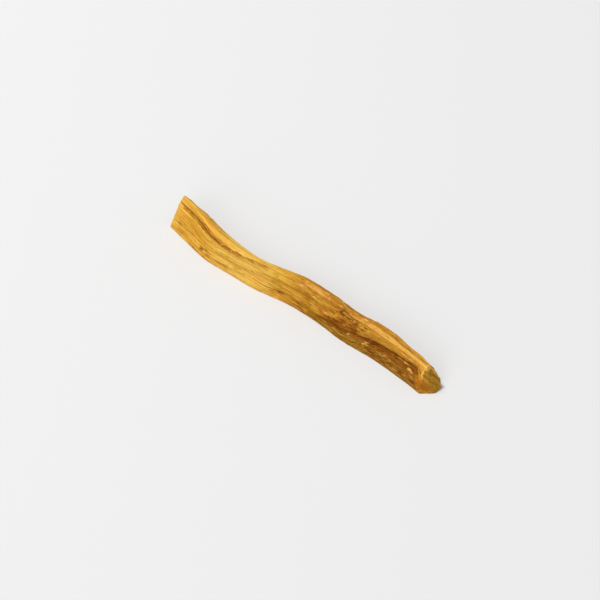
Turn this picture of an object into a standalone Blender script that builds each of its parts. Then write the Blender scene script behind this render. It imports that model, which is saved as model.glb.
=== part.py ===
"""A palo santo stick: one split, gently bowed piece of resinous wood, lying on its flat side.

The stick runs along X. Its left end is at -X and its right end at +X, its front face looks towards -Y,
and its flat underside lies at Z = 0. Lengths in the tables are in millimetres.
"""

import bpy
import numpy as np
from mathutils import Vector, noise

MM = 0.001

# The stick as a whole
LENGTH = 106.0
STATION_COUNT = 106

# The main edges along the stick, at these distances from its left end
STATIONS = (0, 9, 18, 27, 37, 50, 61, 73, 83, 95, 106)
TOE_Y = (-0.9, -2.6, -3.9, -3.5, -2.9, -0.6, -0.1, -0.7, 0.0, -0.3, -0.9)
BROW_Y = (2.7, 1.1, -1.2, -1.7, 0.0, 1.6, 2.2, 2.6, 2.9, 2.5, 1.8)
BROW_Z = (7.2, 7.0, 6.9, 6.9, 7.0, 6.9, 6.9, 6.8, 6.5, 6.4, 6.3)
CREST_Y = (4.6, 3.6, 1.4, 0.7, 1.5, 4.2, 4.7, 4.2, 3.9, 3.4, 2.8)
CREST_Z = (9.2, 8.5, 8.0, 7.7, 7.5, 7.4, 7.3, 7.2, 7.1, 7.1, 6.9)
SHOULDER_Y = (7.4, 6.1, 4.2, 3.1, 3.3, 6.6, 6.9, 6.3, 7.2, 5.6, 4.3)
SHOULDER_Z = (5.9, 6.3, 6.6, 6.6, 6.6, 6.6, 6.7, 6.8, 6.9, 7.0, 6.7)
HIP_Y = (8.3, 7.4, 5.7, 4.8, 4.9, 7.6, 8.0, 7.7, 8.1, 7.0, 5.8)
HIP_Z = (3.0, 3.3, 3.6, 3.5, 3.3, 3.2, 3.5, 3.7, 3.8, 3.2, 2.5)
HEEL_Y = (8.1, 7.3, 5.7, 5.0, 5.1, 7.6, 8.1, 7.8, 8.0, 6.9, 4.7)

# The ledge that climbs the front face from the middle to the right end. Heights are shares of the
# way from toe to brow, and the depth is that of the notch under the ledge's lip. The recess between
# the step below and the lip above has a floor that is nearly as deep.
LEDGE_STATIONS = (0, 20, 30, 42, 60, 67, 74, 82, 91, 97, 101, 103.5, 106)
STEP_HEIGHT = (0.30, 0.34, 0.36, 0.26, 0.18, 0.19, 0.24, 0.34, 0.44, 0.48, 0.44, 0.36, 0.30)
LIP_HEIGHT = (0.52, 0.55, 0.60, 0.50, 0.38, 0.42, 0.54, 0.70, 0.82, 0.88, 0.88, 0.78, 0.66)
LEDGE_DEPTH = (0.0, 0.05, 0.3, 0.15, 0.2, 0.55, 0.85, 1.0, 0.95, 0.9, 0.65, 0.25, 0.0)
LIP_THICKNESS = 0.25
STEP_SLOPE = 0.6  # how far along the face the step takes to reach the floor
FLOOR_SHARE = 0.75

# The crack along the brow of the left part
CRACK_STATIONS = (0, 4, 10, 18, 26, 36, 46, 106)
CRACK_DEPTH = (0.2, 0.5, 0.7, 0.75, 0.6, 0.35, 0.0, 0.0)
CRACK_SHARE = 0.36  # the share of the way from brow to crest that the crack takes up

# The ends. Both cuts lean back with height, the right one more. Its front part is also broken away on
# a slant.
LEFT_CUT_OUT = 0.7
LEFT_CUT_LEAN = 0.07
RIGHT_CUT_BACK = 0.9
RIGHT_CUT_LEAN = 0.5
BREAK_DEPTH = 2.8
BREAK_WIDTH = 4.0
BREAK_Y = 2.8
CUT_BLEND = 9.0  # how fast the stations turn from square to the cuts
RIM_WEAR = 0.25
RIM_SHARE = 0.93
CUT_SHARES = (0.93, 0.62, 0.25)  # the rings that close a cut, as shares of its size

# The torn patch of a knot, near the brow of the right part
KNOT_STATION = 71.5
KNOT_Y = 3.0
KNOT_Z = 6.9
KNOT_LENGTH = 6.5
KNOT_REACH = 2.2
KNOT_DEPTH = 0.45
KNOT_LUMPS = 0.45

# Pits, and lumps where the depth is negative: station, Y, Z, half length along the stick, half width
# and depth
DENTS = (
    (66.8, 2.3, 6.8, 1.2, 0.7, 0.65),
    (69.2, 2.3, 6.5, 1.0, 0.6, 0.6),
    (71.2, 2.0, 5.6, 1.2, 0.7, 0.7),
    (74.5, 2.0, 5.3, 1.3, 0.7, 0.7),
    (77.4, 3.1, 7.0, 1.0, 0.5, -0.45),
    (79.5, 0.9, 2.0, 0.8, 0.5, -0.35),
    (80.5, 1.9, 3.2, 2.4, 0.8, 0.35),
    (86.6, 2.3, 3.9, 1.3, 0.6, 0.35),
    (91.4, 2.2, 4.3, 1.7, 0.6, 0.3),
    (96.6, 1.8, 4.4, 1.2, 0.6, 0.3),
    (94.8, 0.5, 1.5, 0.9, 0.6, 0.35),
    (100.6, -0.3, 0.8, 1.7, 0.7, 0.45),
    (4.5, -1.6, 0.9, 1.8, 0.9, 0.5),
    (15.3, -2.6, 1.5, 0.9, 0.6, 0.4),
    (18.6, -3.5, 1.2, 1.4, 0.8, 0.5),
    (26.2, -3.3, 1.0, 1.6, 0.8, 0.45),
    (45.2, -0.9, 1.6, 2.8, 0.8, 0.55),
    (31.0, 4.2, 5.0, 4.5, 1.1, 0.5),
    (58.0, 7.8, 3.4, 5.0, 1.2, 0.55),
    (90.0, 7.5, 3.2, 3.6, 1.1, 0.5),
)

# The unevenness of the split wood, on its edges and on its faces
EDGE_WOBBLE = 0.13
EDGE_WOBBLE_LENGTH = 15.0
RELIEF = 0.2
RELIEF_LENGTH = 30.0
RELIEF_WIDTH = 1.1

# The section's edges in order from the front of the underside: how far each is rounded, the points on
# its rounding, and the steps on the face from it to the next edge
TOE, STEP, FLOOR, NOTCH, LIP, BROW, CRACK, RIM, CREST, SHOULDER, HIP, HEEL = range(12)
EDGE_ROUND = (0.3, 0.15, 0.0, 0.0, 0.0, 0.0, 0.0, 0.0, 0.35, 0.35, 0.6, 0.3)
ROUND_POINTS = (3, 2, 1, 1, 1, 1, 1, 1, 3, 3, 3, 3)
FACE_STEPS = (4, 1, 3, 1, 4, 1, 1, 2, 3, 5, 4, 4)

WOOD_COLOUR = (0.52, 0.27, 0.065)
WOOD_ROUGHNESS = 0.62


def smooth_track(stations, knots, values):
    """Returns a smooth curve through the values at the knots, read at the stations."""
    knots = np.array(knots, float)
    values = np.array(values, float)
    slopes = np.gradient(values, knots)
    left = np.clip(np.searchsorted(knots, stations, side="right") - 1, 0, len(knots) - 2)
    gap = knots[left + 1] - knots[left]
    t = (stations - knots[left]) / gap
    start = (1 + 2 * t) * (1 - t) ** 2 * values[left] + t * (1 - t) ** 2 * gap * slopes[left]
    finish = t**2 * (3 - 2 * t) * values[left + 1] + t**2 * (t - 1) * gap * slopes[left + 1]
    return start + finish


def smooth_step(low, high, value):
    """Returns 0 at low, 1 at high, and a smooth way between them."""
    t = np.clip((value - low) / (high - low), 0.0, 1.0)
    return t * t * (3.0 - 2.0 * t)


def noise_at(points):
    """Returns smooth noise between about -1 and 1 for an array of 3-D points."""
    flat = np.reshape(points, (-1, 3))
    values = [noise.noise(Vector(point)) for point in flat]
    return np.reshape(values, np.shape(points)[:-1])


def edge_wobble(stations, edge):
    """Returns the Y and Z that unevenness adds to an edge of the section."""
    along = np.asarray(stations) / EDGE_WOBBLE_LENGTH
    rows = []
    for channel in range(2):
        offset = np.full_like(along, 10.0 * edge + 3.7 * channel)
        coarse = noise_at(np.stack([along, offset, offset * 0.3], axis=-1))
        fine = noise_at(np.stack([along * 3.1, offset, offset * 0.7 + 5.0], axis=-1))
        rows.append(EDGE_WOBBLE * (coarse + 0.35 * fine))
    return np.stack(rows, axis=-1)


def main_edge(stations, edge, y_values, z_values=None):
    """Returns one edge from its table, with wobble. An edge with no Z values stays on the ground."""
    y = smooth_track(stations, STATIONS, y_values)
    z = np.zeros_like(y) if z_values is None else smooth_track(stations, STATIONS, z_values)
    line = np.stack([y, z], axis=-1) + edge_wobble(stations, edge)
    if z_values is None:
        line[:, 1] = 0.0
    return line


def between(start, finish, share):
    """Returns the points that lie a share of the way from one line to another."""
    return start + (finish - start) * share[:, None]


def sink(line, start, finish, depth):
    """Moves a line into the wood, square to the face that runs from start to finish."""
    along = finish - start
    along /= np.linalg.norm(along, axis=1, keepdims=True)
    inward = np.stack([along[:, 1], -along[:, 0]], axis=-1)
    return line + inward * depth[:, None]


def section_edges(stations):
    """Returns the Y and Z of every edge of the section at each station."""
    toe = main_edge(stations, TOE, TOE_Y)
    brow = main_edge(stations, BROW, BROW_Y, BROW_Z)
    crest = main_edge(stations, CREST, CREST_Y, CREST_Z)
    shoulder = main_edge(stations, SHOULDER, SHOULDER_Y, SHOULDER_Z)
    hip = main_edge(stations, HIP, HIP_Y, HIP_Z)
    heel = main_edge(stations, HEEL, HEEL_Y)

    depth = np.maximum(smooth_track(stations, LEDGE_STATIONS, LEDGE_DEPTH), 0.0)
    lip_height = smooth_track(stations, LEDGE_STATIONS, LIP_HEIGHT)
    step_height = smooth_track(stations, LEDGE_STATIONS, STEP_HEIGHT)
    face_width = np.linalg.norm(brow - toe, axis=1)
    step = between(toe, brow, step_height)
    lip = between(toe, brow, lip_height)
    floor = sink(between(toe, brow, step_height + STEP_SLOPE / face_width), toe, brow, FLOOR_SHARE * depth)
    notch = sink(between(toe, brow, lip_height - LIP_THICKNESS / face_width), toe, brow, depth)

    crack_depth = np.maximum(smooth_track(stations, CRACK_STATIONS, CRACK_DEPTH), 0.0)
    crack_share = np.full_like(stations, CRACK_SHARE)
    rim = between(brow, crest, crack_share)
    crack = sink(between(brow, crest, 0.5 * crack_share), brow, crest, crack_depth)
    return np.stack([toe, step, floor, notch, lip, brow, crack, rim, crest, shoulder, hip, heel], axis=1)


def section_points(edges):
    """Returns the points around each section, with its edges rounded, and which face each is on."""
    count = edges.shape[1]
    points = []
    places = []
    for edge in range(count):
        corner = edges[:, edge]
        before = towards(corner, edges[:, edge - 1], EDGE_ROUND[edge])
        after = towards(corner, edges[:, (edge + 1) % count], EDGE_ROUND[edge])
        for t in np.linspace(0.0, 1.0, ROUND_POINTS[edge]) if ROUND_POINTS[edge] > 1 else (0.5,):
            points.append((1 - t) ** 2 * before + 2 * t * (1 - t) * corner + t**2 * after)
            places.append(edge)
        following = (edge + 1) % count
        face_end = towards(edges[:, following], corner, EDGE_ROUND[following])
        for t in np.linspace(0.0, 1.0, FACE_STEPS[edge] + 1)[1:-1]:
            points.append(after + (face_end - after) * t)
            places.append(edge + 0.5)
    return np.stack(points, axis=1), np.array(places)


def towards(start, target, distance):
    """Returns the points at a distance from start on the way to target."""
    way = target - start
    return start + way * (distance / np.linalg.norm(way, axis=1, keepdims=True))


def outward(points):
    """Returns the outward direction at each point around a section."""
    along = np.roll(points, -1, axis=1) - np.roll(points, 1, axis=1)
    along /= np.linalg.norm(along, axis=2, keepdims=True)
    return np.stack([-along[..., 1], along[..., 0]], axis=-1)


def surface_change(stations, points):
    """Returns how far relief, pits and the knot move each point outwards."""
    along = np.broadcast_to(stations[:, None], points.shape[:2])
    place = np.stack([along / RELIEF_LENGTH, *np.moveaxis(points / RELIEF_WIDTH, -1, 0)], axis=-1)
    change = RELIEF * (noise_at(place) - 0.35)

    knot = np.exp(
        -(((along - KNOT_STATION) / KNOT_LENGTH) ** 4)
        - ((points[..., 0] - KNOT_Y) / KNOT_REACH) ** 2
        - ((points[..., 1] - KNOT_Z) / KNOT_REACH) ** 2
    )
    lumps = noise_at(np.stack([along / 1.9, points[..., 0] / 1.3, points[..., 1] / 1.3], axis=-1))
    change += knot * (KNOT_LUMPS * lumps - KNOT_DEPTH)

    for station, y, z, half_length, half_width, depth in DENTS:
        across = (points[..., 0] - y) ** 2 + (points[..., 1] - z) ** 2
        change -= depth * np.exp(-(((along - station) / half_length) ** 2) - across / half_width**2)
    return change


def stick_rings():
    """Returns the rings of points along the stick, in millimetres."""
    stations = np.linspace(0.0, LENGTH, STATION_COUNT)
    points, places = section_points(section_edges(stations))
    change = surface_change(stations, points)
    change[:, (places == TOE) | (places >= HEEL)] = 0.0
    points = points + outward(points) * change[..., None]
    points[..., 1] = np.maximum(points[..., 1], 0.0)

    spread = np.broadcast_to(stations[:, None], points.shape[:2])
    x = spread + end_slant(spread, points)
    rings = np.concatenate([x[..., None], points], axis=2)
    left_face = cut_face(points[0], 0.0, -1.0)[::-1]
    right_face = cut_face(points[-1], LENGTH, 1.0)
    return np.concatenate([left_face, rings, right_face])


def end_slant(stations, points):
    """Returns how far each point moves along X, so that the ends have their cuts."""
    left_share = np.exp(-CUT_BLEND * stations / LENGTH)
    right_share = np.exp(-CUT_BLEND * (1.0 - stations / LENGTH))
    left = LEFT_CUT_LEAN * points[..., 1] - LEFT_CUT_OUT
    broken = smooth_step(0.0, BREAK_WIDTH, BREAK_Y - points[..., 0])
    right = -RIGHT_CUT_BACK - RIGHT_CUT_LEAN * points[..., 1] - BREAK_DEPTH * broken
    return left_share * left + right_share * right


def cut_face(rim, station, way):
    """Returns rings that close a cut end, from just inside its worn rim towards its middle."""
    middle = rim.mean(axis=0)
    shares = np.array(CUT_SHARES)
    points = middle + (rim - middle) * shares[:, None, None]
    x = station + end_slant(np.full(points.shape[:2], station), points)
    x += way * RIM_WEAR * smooth_step(1.0, RIM_SHARE, shares)[:, None]
    return np.concatenate([x[..., None], points], axis=2)


def loft(name, rings, collection):
    """Makes one closed body from rings of points, in metres."""
    ring_count, point_count = rings.shape[:2]
    index = np.arange(ring_count * point_count).reshape(ring_count, point_count)
    following = np.roll(index, -1, axis=1)
    sides = np.stack([index[:-1], index[1:], following[1:], following[:-1]], axis=-1).reshape(-1, 4)
    faces = [tuple(map(int, side)) for side in sides]
    faces.append(tuple(map(int, index[0])))
    faces.append(tuple(map(int, index[-1][::-1])))
    mesh = bpy.data.meshes.new(name)
    mesh.from_pydata((rings.reshape(-1, 3) * MM).tolist(), [], faces)
    mesh.validate()
    mesh.shade_smooth()
    mesh.set_sharp_from_angle(angle=np.radians(28.0))
    stick = bpy.data.objects.new(name, mesh)
    collection.objects.link(stick)
    return stick


def wood_material():
    """Makes the amber of resinous heartwood."""
    material = bpy.data.materials.new("palo_santo_wood")
    material.use_nodes = True
    shader = material.node_tree.nodes["Principled BSDF"]
    shader.inputs["Base Color"].default_value = (*WOOD_COLOUR, 1.0)
    shader.inputs["Roughness"].default_value = WOOD_ROUGHNESS
    shader.inputs["Metallic"].default_value = 0.0
    return material


def main():
    for old in list(bpy.data.objects):
        bpy.data.objects.remove(old, do_unlink=True)
    collection = bpy.data.collections.new("palo_santo")
    bpy.context.scene.collection.children.link(collection)
    rings = stick_rings()
    middle = 0.5 * (rings.min(axis=(0, 1)) + rings.max(axis=(0, 1)))
    rings[..., :2] -= middle[:2]
    stick = loft("palo_santo_stick", rings, collection)
    stick.data.materials.append(wood_material())


main()
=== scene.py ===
import math

import bpy
import numpy as np
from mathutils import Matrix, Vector, noise


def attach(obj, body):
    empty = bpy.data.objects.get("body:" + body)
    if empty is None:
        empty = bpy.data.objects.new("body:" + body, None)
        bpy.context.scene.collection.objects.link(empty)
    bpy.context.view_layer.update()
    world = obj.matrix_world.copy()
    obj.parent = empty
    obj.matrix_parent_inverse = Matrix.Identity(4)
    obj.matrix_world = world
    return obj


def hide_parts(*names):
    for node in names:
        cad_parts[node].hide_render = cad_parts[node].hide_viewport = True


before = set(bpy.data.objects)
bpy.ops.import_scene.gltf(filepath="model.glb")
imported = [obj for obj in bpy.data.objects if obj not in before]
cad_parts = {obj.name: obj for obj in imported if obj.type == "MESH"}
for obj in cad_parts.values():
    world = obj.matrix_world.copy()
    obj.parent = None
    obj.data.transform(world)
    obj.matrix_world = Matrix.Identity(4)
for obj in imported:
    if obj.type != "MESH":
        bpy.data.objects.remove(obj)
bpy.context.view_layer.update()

MM = 0.001
NODE = "palo_santo_stick"

# The stick's length in millimetres, and the number of sections that shape it
LENGTH = 106.0
STATION_COUNT = 320

# The main edges along the stick, at these distances from its left end, as in the solid
STATIONS = (0, 9, 18, 27, 37, 50, 61, 73, 83, 95, 106)
TOE_Y = (-0.9, -2.6, -3.9, -3.5, -2.9, -0.6, -0.1, -0.7, 0.0, -0.3, -0.9)
BROW_Y = (2.7, 1.1, -1.2, -1.7, 0.0, 1.6, 2.2, 2.6, 2.9, 2.5, 1.8)
BROW_Z = (7.2, 7.0, 6.9, 6.9, 7.0, 6.9, 6.9, 6.8, 6.5, 6.4, 6.3)
CREST_Y = (4.6, 3.6, 1.4, 0.7, 1.5, 4.2, 4.7, 4.2, 3.9, 3.4, 2.8)
CREST_Z = (9.2, 8.5, 8.0, 7.7, 7.5, 7.4, 7.3, 7.2, 7.1, 7.1, 6.9)
SHOULDER_Y = (7.4, 6.1, 4.2, 3.1, 3.3, 6.6, 6.9, 6.3, 7.2, 5.6, 4.3)
SHOULDER_Z = (5.9, 6.3, 6.6, 6.6, 6.6, 6.6, 6.7, 6.8, 6.9, 7.0, 6.7)
HIP_Y = (8.3, 7.4, 5.7, 4.8, 4.9, 7.6, 8.0, 7.7, 8.1, 7.0, 5.8)
HIP_Z = (3.0, 3.3, 3.6, 3.5, 3.3, 3.2, 3.5, 3.7, 3.8, 3.2, 2.5)
HEEL_Y = (8.1, 7.3, 5.7, 5.0, 5.1, 7.6, 8.1, 7.8, 8.0, 6.9, 4.7)

# The ledge that climbs the front face. Heights are shares of the way from toe to brow, the depth is
# that of the notch under the ledge's lip, and the slope leads from the step to the recess's floor.
LEDGE_STATIONS = (0, 20, 30, 42, 60, 67, 74, 82, 91, 97, 101, 103.5, 106)
STEP_HEIGHT = (0.30, 0.34, 0.36, 0.26, 0.18, 0.19, 0.24, 0.34, 0.44, 0.48, 0.44, 0.36, 0.30)
LIP_HEIGHT = (0.52, 0.55, 0.60, 0.50, 0.38, 0.42, 0.54, 0.70, 0.82, 0.88, 0.88, 0.78, 0.66)
LEDGE_DEPTH = (0.0, 0.05, 0.3, 0.15, 0.2, 0.55, 0.85, 1.0, 0.95, 0.9, 0.65, 0.25, 0.0)
LIP_THICKNESS = 0.25
STEP_SLOPE = 0.6
FLOOR_SHARE = 0.75  # the recess is this share of the notch's depth

# The crack along the brow of the left part
CRACK_STATIONS = (0, 4, 10, 18, 26, 36, 46, 106)
CRACK_DEPTH = (0.2, 0.5, 0.7, 0.75, 0.6, 0.35, 0.0, 0.0)
CRACK_SHARE = 0.36  # the crack's width, as a share of the way from brow to crest

# The ends. Both cuts lean back with height, the right one more. Its front part is also broken away on
# a slant.
LEFT_CUT_OUT = 0.7
LEFT_CUT_LEAN = 0.07
RIGHT_CUT_BACK = 0.9
RIGHT_CUT_LEAN = 0.5
BREAK_DEPTH = 2.8
BREAK_WIDTH = 4.0
BREAK_Y = 2.8
CUT_BLEND = 9.0  # how fast the stations turn from square to the cuts
RIM_WEAR = 0.25  # how far a cut's rim is worn back
RIM_SHARE = 0.93  # the wear reaches in to this share of the cut's size

# The torn patch of a knot, near the brow of the right part: station, Y and Z of its middle, half
# length and half width, how deep it is torn, and its lumps
KNOT_STATION = 71.5
KNOT_PATCH = (KNOT_STATION, 3.0, 6.9, 6.5, 2.2)
KNOT_DEPTH = 0.45
KNOT_LUMPS = 0.45
KNOT_LUMP_LENGTH = 1.9
KNOT_LUMP_WIDTH = 1.3

# Pits, and lumps where the depth is negative: station, Y, Z, half length along the stick, half width
# and depth
DENTS = (
    (66.8, 2.3, 6.8, 1.2, 0.7, 0.65),
    (69.2, 2.3, 6.5, 1.0, 0.6, 0.6),
    (71.2, 2.0, 5.6, 1.2, 0.7, 0.7),
    (74.5, 2.0, 5.3, 1.3, 0.7, 0.7),
    (77.4, 3.1, 7.0, 1.0, 0.5, -0.45),
    (79.5, 0.9, 2.0, 0.8, 0.5, -0.35),
    (80.5, 1.9, 3.2, 2.4, 0.8, 0.35),
    (86.6, 2.3, 3.9, 1.3, 0.6, 0.35),
    (91.4, 2.2, 4.3, 1.7, 0.6, 0.3),
    (96.6, 1.8, 4.4, 1.2, 0.6, 0.3),
    (94.8, 0.5, 1.5, 0.9, 0.6, 0.35),
    (100.6, -0.3, 0.8, 1.7, 0.7, 0.45),
    (4.5, -1.6, 0.9, 1.8, 0.9, 0.5),
    (15.3, -2.6, 1.5, 0.9, 0.6, 0.4),
    (18.6, -3.5, 1.2, 1.4, 0.8, 0.5),
    (26.2, -3.3, 1.0, 1.6, 0.8, 0.45),
    (45.2, -0.9, 1.6, 2.8, 0.8, 0.55),
    (31.0, 4.2, 5.0, 4.5, 1.1, 0.5),
    (58.0, 7.8, 3.4, 5.0, 1.2, 0.55),
    (90.0, 7.5, 3.2, 3.6, 1.1, 0.5),
)
PIT_WIDTH = 1.0  # from this half width on, a pit is too shallow for painted shade

# The unevenness of the split wood, on its edges and on its faces
EDGE_WOBBLE = 0.13
EDGE_WOBBLE_LENGTH = 15.0
EDGE_FINE_SHARE = 0.35  # how strong a finer unevenness is beside the main one
EDGE_FINER = 3.1  # how many times shorter it is
RELIEF = 0.2
RELIEF_LENGTH = 30.0
RELIEF_WIDTH = 1.1
RELIEF_SINK = 0.35  # the faces lie lower by this share of the relief

# Where the edges read their noise, so that no two of them waver alike: the steps from edge to edge
# and from Y to Z, and how the coarse and the fine noise lie to these
EDGE_GAP = 10.0
AXIS_GAP = 3.7
COARSE_SLANT = 0.3
FINE_SLANT = 0.7
FINE_SHIFT = 5.0

# The section's edges in order from the front of the underside
TOE, STEP, FLOOR, NOTCH, LIP, BROW, CRACK, RIM, CREST, SHOULDER, HIP, HEEL = range(12)

# How far each edge is rounded, the points of the rounding, and the steps across the face that follows
EDGE_ROUND = (0.3, 0.15, 0.0, 0.0, 0.0, 0.0, 0.0, 0.0, 0.35, 0.35, 0.6, 0.3)
ROUND_POINTS = (5, 3, 1, 1, 1, 1, 1, 1, 5, 5, 6, 5)
FACE_STEPS = (18, 8, 14, 6, 34, 6, 6, 14, 22, 34, 36, 44)

# The grain: how far it strays from the edges in each millimetre, the waves that it drifts in, and how
# it bends round the knot
GRAIN_STRAY = 0.012
GRAIN_DRIFT = 0.5
DRIFT_LENGTH = 55.0
DRIFT_WIDTH = 9.0
KNOT_BEND = 1.3
KNOT_BEND_LENGTH = 7.0

# Fine fibres, as ridges and as creases: length, width and height of each layer, in millimetres, and
# where it reads its noise
RIDGES = ((34.0, 0.8, 0.06, 0.0), (13.0, 0.36, 0.05, 7.1))
CREASES = ((48.0, 1.3, 0.1, 40.0), (20.0, 0.5, 0.05, 45.3))

# The steps that splitting leaves, each level for a share of its width, with frayed edges. The shifts
# are where they read their noise.
SPLIT_LENGTH = 85.0
SPLIT_WIDTH = 1.7
SPLIT_STEPS = 3.4
SPLIT_HEIGHT = 0.1
SPLIT_EDGE = 0.84
SPLIT_SHIFT = 21.0
SPLIT_FRAY = 0.34
FRAY_LENGTH = 11.0
FRAY_WIDTH = 0.26
FRAY_SHIFT = 2.0
QUIET_UNDERSIDE = 0.35  # the share of the relief that the underside keeps
RIM_QUIET = 4.0  # the length over which the relief fades towards the sawn ends
RIM_KEPT = 0.35  # the share of the relief that is left at the sawn ends

# Hairline checks along the grain, and pores torn open by the split: how many, from which to which
# length, half width and depth, and the seed of their places
CHECKS = (70, (5.0, 26.0), (0.05, 0.11), (0.12, 0.4), 11)
OPEN_PORES = (260, (0.35, 1.4), (0.06, 0.13), (0.08, 0.24), 23)
MARK_SLOPE = 0.012  # how far they slant off the grain

# Splits that the eye picks out: station, place round the section, half length, half width, depth and
# slope
LONG_SPLITS = (
    (40.5, 4.5, 4.0, 0.1, 0.18, 0.01),
    (57.5, 4.65, 4.5, 0.12, 0.2, 0.02),
    (88.0, 4.6, 7.0, 0.1, 0.2, 0.0),
    (96.0, 7.6, 6.0, 0.1, 0.2, 0.0),
    (20.0, 8.4, 9.0, 0.1, 0.25, 0.01),
)

# Marks in the wood's colour: station, place round the section, half length, half width and strength.
# The dark specks are partly dark flecks and partly painted shade in the pits round the knot, and the
# light specks partly pale fibres and partly painted highlights on lumps.
DARK_SPECKS_AND_SHADE = (
    (66.1, 6.83, 1.0, 0.45, 0.9),
    (69.2, 7.7, 2.6, 0.9, 0.62),
    (78.2, 4.85, 1.6, 0.5, 0.6),
    (75.0, 4.25, 2.8, 0.7, 0.75),
    (72.8, 4.45, 1.4, 0.4, 0.6),
    (68.2, 5.1, 1.0, 0.45, 0.9),
    (70.5, 4.85, 0.9, 0.4, 0.8),
    (72.0, 4.85, 0.8, 0.4, 0.7),
    (74.8, 4.8, 1.1, 0.45, 0.9),
    (70.0, 4.45, 2.4, 0.5, 0.6),
    (67.4, 4.0, 3.6, 0.9, 1.0),
    (82.4, 2.6, 2.4, 0.6, 0.8),
    (85.0, 1.9, 2.8, 0.7, 0.65),
    (81.5, 0.6, 3.6, 1.1, 0.75),
    (90.2, 0.6, 2.4, 0.9, 0.72),
    (77.2, 4.6, 3.0, 0.9, 0.5),
    (88.6, 2.3, 1.4, 0.5, 0.5),
    (91.0, 2.45, 1.5, 0.6, 0.85),
    (98.4, 2.3, 1.7, 0.6, 0.75),
    (100.6, 2.7, 1.0, 0.5, 0.7),
    (103.4, 4.1, 2.0, 0.8, 0.72),
    (80.6, 0.5, 1.4, 0.5, 0.7),
    (88.0, 0.25, 2.2, 0.4, 0.9),
    (95.0, 0.4, 1.6, 0.4, 0.9),
    (100.4, 0.42, 2.2, 0.4, 0.9),
    (6.0, 0.6, 1.6, 0.4, 0.5),
    (12.5, 0.2, 4.5, 0.4, 0.4),
    (15.5, 0.9, 1.4, 0.8, 0.85),
    (29.6, 1.0, 0.7, 0.35, 0.6),
    (35.9, 4.15, 1.4, 0.25, 0.5),
    (46.2, 2.2, 3.0, 0.8, 0.75),
    (48.8, 2.9, 1.2, 0.4, 0.5),
    (24.9, 4.92, 0.8, 0.35, 0.7),
    (57.7, 6.6, 2.2, 0.35, 0.5),
    (55.0, 4.0, 2.6, 0.7, 0.5),
    (59.4, 4.6, 0.9, 0.35, 0.55),
    (62.0, 1.1, 3.0, 0.8, 0.65),
    (66.0, 1.7, 2.6, 0.7, 0.6),
    (17.6, 1.3, 2.0, 0.6, 0.6),
)
# Partly pale fibres, partly painted highlights where lumps catch the light
LIGHT_SPECKS_AND_HIGHLIGHTS = (
    (76.9, 5.0, 1.6, 0.45, 0.6),
    (75.8, 4.4, 1.2, 0.45, 0.55),
    (76.1, 8.4, 1.4, 0.4, 0.8),
    (73.6, 5.2, 0.8, 0.3, 0.6),
    (70.8, 4.25, 1.1, 0.45, 0.55),
    (64.2, 4.32, 3.4, 0.3, 0.65),
    (79.4, 1.6, 1.5, 0.7, 0.7),
    (87.1, 1.6, 1.4, 0.6, 0.42),
    (98.8, 1.5, 1.5, 0.6, 0.45),
    (54.6, 4.5, 1.3, 0.35, 0.6),
    (57.8, 4.9, 1.8, 0.35, 0.5),
    (29.6, 7.4, 1.4, 0.3, 0.9),
    (33.5, 4.55, 3.6, 0.45, 0.6),
    (36.2, 2.0, 1.0, 0.4, 0.6),
    (46.6, 4.4, 3.0, 0.7, 0.5),
    (52.5, 6.6, 3.6, 0.9, 0.5),
    (95.0, 2.6, 2.4, 0.5, 0.5),
    (97.4, 1.9, 1.8, 0.6, 0.45),
    (73.4, 2.3, 2.4, 0.7, 0.45),
    (94.4, 2.9, 1.6, 0.5, 0.5),
    (96.0, 5.0, 5.5, 0.8, 0.6),
)
ORANGES = (
    (3.5, 4.7, 2.6, 1.1, 0.7),
    (2.8, 6.9, 1.8, 0.5, 0.5),
    (14.5, 7.5, 6.0, 0.7, 0.75),
    (24.0, 7.4, 4.5, 0.6, 0.75),
    (38.5, 2.4, 3.2, 0.9, 0.8),
    (45.5, 0.1, 1.8, 0.7, 0.7),
    (9.0, 1.4, 3.5, 0.8, 0.5),
)
OLIVES = (
    (3.4, 2.0, 2.6, 0.9, 0.6),
    (7.6, 5.5, 4.2, 0.6, 1.0),
    (10.5, 2.9, 2.6, 1.1, 0.6),
    (12.0, 4.05, 3.0, 1.1, 0.7),
    (25.0, 4.05, 2.8, 1.0, 0.8),
    (37.9, 6.1, 4.2, 0.9, 0.8),
    (42.4, 2.8, 2.6, 0.9, 0.65),
    (44.4, 4.5, 4.4, 1.2, 0.9),
    (53.4, 4.7, 3.0, 0.8, 0.5),
    (54.8, 4.15, 2.6, 0.8, 0.8),
    (59.5, 1.75, 4.2, 1.1, 1.0),
    (31.0, 1.3, 3.6, 1.1, 0.7),
    (59.5, 4.1, 2.6, 0.9, 0.8),
    (43.4, 4.95, 2.4, 0.8, 0.8),
    (1.2, 8.2, 2.2, 1.2, 0.6),
)
MARKS = {"dark_speck_and_shade": DARK_SPECKS_AND_SHADE, "light_speck_and_highlight": LIGHT_SPECKS_AND_HIGHLIGHTS, "orange": ORANGES, "olive": OLIVES}

# Nicks in the long edges: how deep, how long, and how far they reach from the edge
NICK_DEPTH = 0.2
NICK_LENGTH = 1.9
NICK_REACH = 0.24
NICK_BITE = (0.1, 0.45)  # the noise at which a nick starts, and at which it is full
NICK_GAP = 5.0  # the step from edge to edge in that noise
NICK_DRIFT = 9.0  # the length over which that noise changes
NICKED_EDGES = (TOE, STEP, BROW, RIM, CREST, SHOULDER, HIP, HEEL)

# The knot's finer lumps
KNOT_GRIT = 0.16
KNOT_GRIT_SIZE = 0.55
KNOT_GRIT_STRETCH = 0.6

# The brown stains round the knot and in the front corner of the right end: station, Y and Z of the
# middle, half length and half width
KNOT_STAIN = (70.6, 2.2, 6.0, 5.6, 2.4)
CORNER_STAIN = (104.8, 0.5, 2.0, 3.4, 1.6)
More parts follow.
